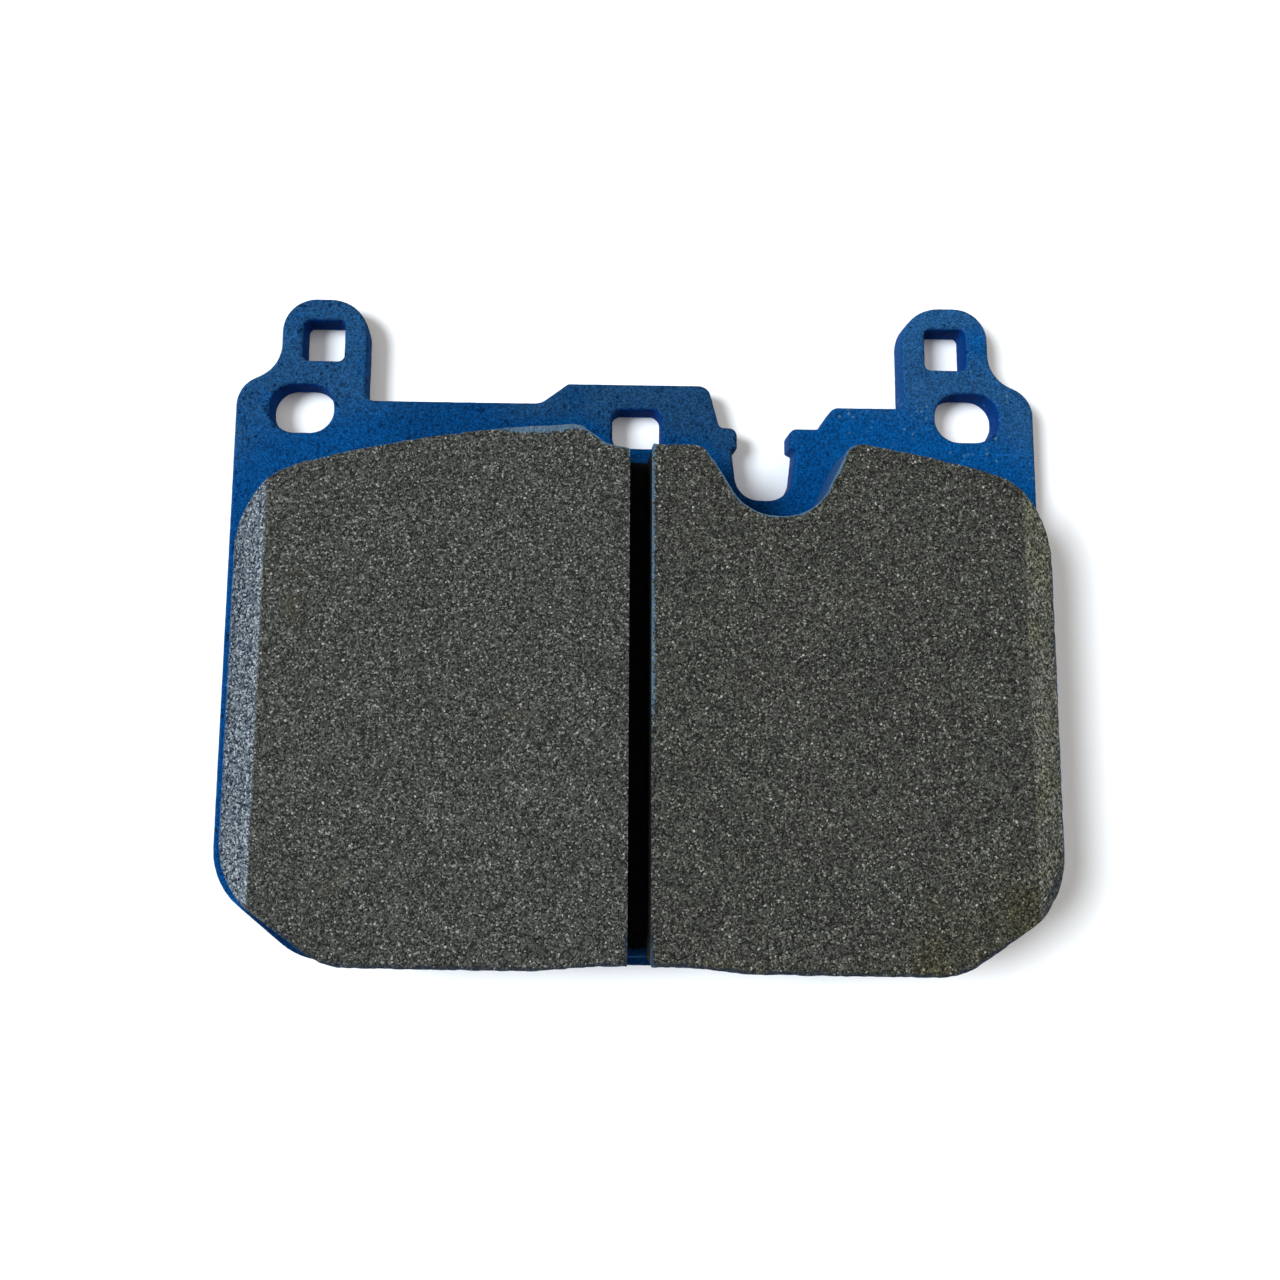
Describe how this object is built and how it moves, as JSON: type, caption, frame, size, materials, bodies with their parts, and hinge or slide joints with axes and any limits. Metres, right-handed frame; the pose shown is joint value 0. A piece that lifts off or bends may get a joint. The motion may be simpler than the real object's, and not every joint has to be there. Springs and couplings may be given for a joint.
{
  "type": "disc brake pad",
  "caption": "Front disc brake pad for a fixed caliper: painted steel backing plate with pin-hole ears and a sensor notch, carrying a slotted, end-chamfered friction block.",
  "frame": {"origin": "middle of the pad's bounding box in plan, at the back face of the backing plate", "axes": "+X along the pad's width, +Y outward from the disc's centre towards the ears, +Z from the backing plate to the wear face"},
  "size_m": [0.14, 0.114, 0.0175],
  "materials": {
    "blue_paint": "satin powder coat",
    "underlayer_black": "matte moulded compound",
    "friction_grey": "ground, granular friction compound"
  },
  "bodies": {
    "root": {"backing_plate": "blue_paint", "underlayer": "underlayer_black", "friction_segment_left": "friction_grey", "friction_segment_right": "friction_grey"}
  },
  "joints": []
}
